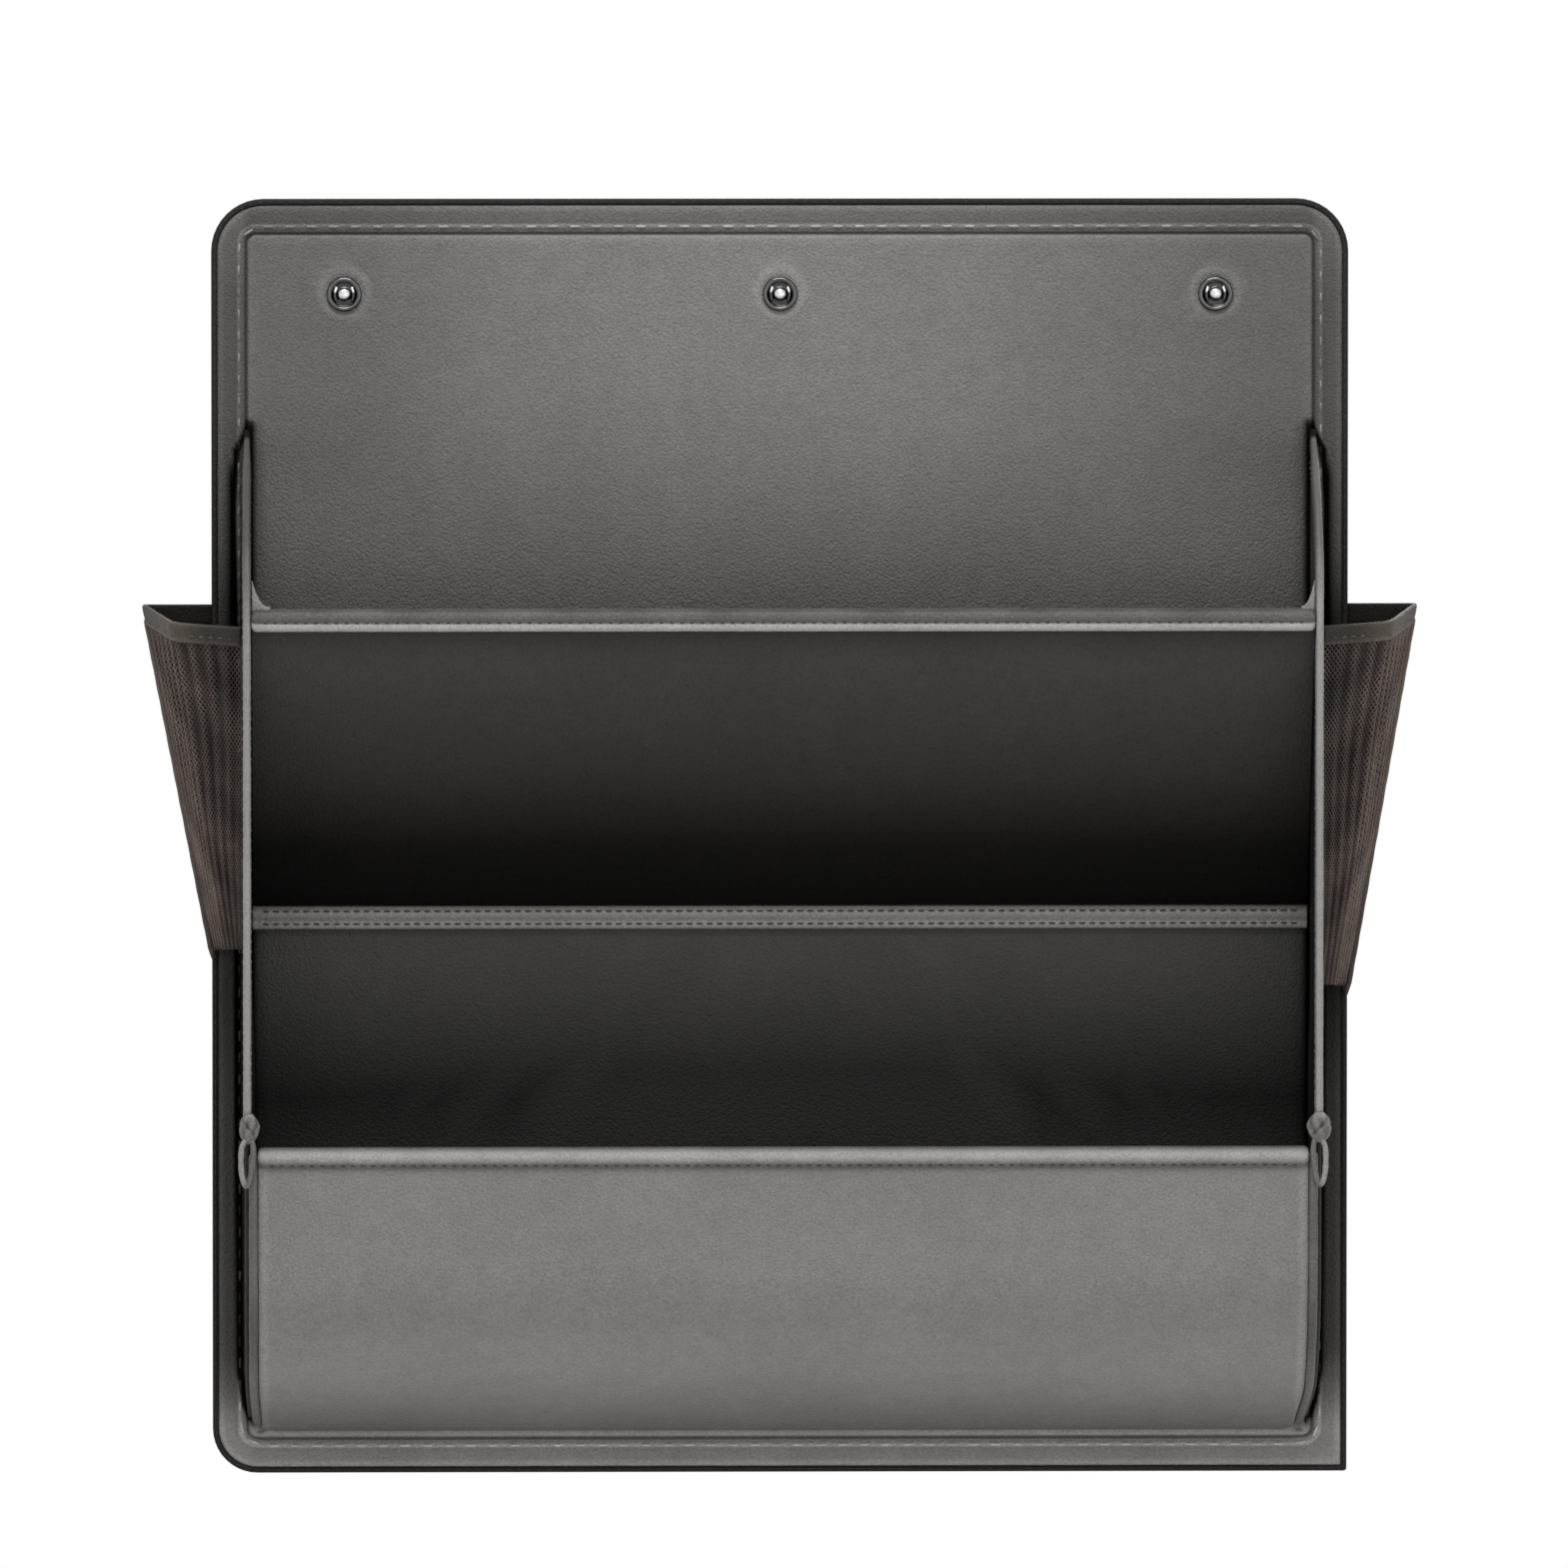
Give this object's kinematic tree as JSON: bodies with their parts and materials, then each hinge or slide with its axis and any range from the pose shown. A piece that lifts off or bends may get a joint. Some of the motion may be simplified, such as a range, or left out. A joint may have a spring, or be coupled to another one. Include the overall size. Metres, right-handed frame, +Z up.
{
  "type": "hanging pocket organizer",
  "caption": "Flat leather-look wall organizer with a stiff back panel, wide pockets one above the other, net side pockets and press studs along the top.",
  "frame": {"origin": "centre of the back panel's rear face", "axes": "+Z up, +Y into the wall, the front faces -Y, +X to the right seen from the front"},
  "size_m": [0.5874, 0.0889, 0.584],
  "materials": {
    "grey_leather": "fine-grained grey leather",
    "dark_leather": "fine-grained charcoal leather",
    "pale_binding": "smooth light grey binding",
    "edge_tape": "dark woven edge tape",
    "lining_cloth": "plain dark lining cloth",
    "grey_board": "stiff grey board",
    "net_cord": "brown knitted net",
    "chrome": "polished"
  },
  "bodies": {
    "root": {"back_board": "grey_board", "face_leather": "grey_leather", "rear_lining": "lining_cloth", "edge_binding": "edge_tape", "upper_seam_strip": "dark_leather", "lower_base": "grey_leather", "lower_seam_strip": "dark_leather", "left_gusset": "dark_leather", "left_gusset_binding": "pale_binding", "left_corner_knot": "grey_leather", "left_seam_piping": "grey_leather", "left_net_front": "net_cord", "left_net_rear": "net_cord", "left_net_band": "dark_leather", "left_net_piping": "dark_leather", "right_gusset": "dark_leather", "right_gusset_binding": "pale_binding", "right_corner_knot": "grey_leather", "right_seam_piping": "grey_leather", "right_net_front": "net_cord", "right_net_rear": "net_cord", "right_net_band": "dark_leather", "right_net_piping": "dark_leather", "stud_left": "chrome", "stud_washer_left": "chrome", "stud_centre": "chrome", "stud_washer_centre": "chrome", "stud_right": "chrome", "stud_washer_right": "chrome"},
    "upper_front": {"upper_front_face": "dark_leather", "upper_front_board": "grey_board", "upper_front_lining": "lining_cloth", "upper_lip": "grey_leather"},
    "lower_front": {"lower_front_face": "grey_leather", "lower_front_board": "grey_board", "lower_front_lining": "lining_cloth", "lower_lip": "grey_leather"}
  },
  "joints": [
    {"name": "upper pocket fold", "type": "hinge", "parent": "root", "child": "upper_front", "pos_m": [0, -0.0084, -0.0288], "axis": [-1, 0, 0], "range_deg": [0, 25]},
    {"name": "lower pocket fold", "type": "slide", "parent": "root", "child": "lower_front", "axis": [0, 1, 0], "range_m": [0, 0.0665]}
  ],
  "couplings": [
    {"joint": "lower pocket fold", "follows": "upper pocket fold", "m_per_rad": 0.1513}
  ]
}
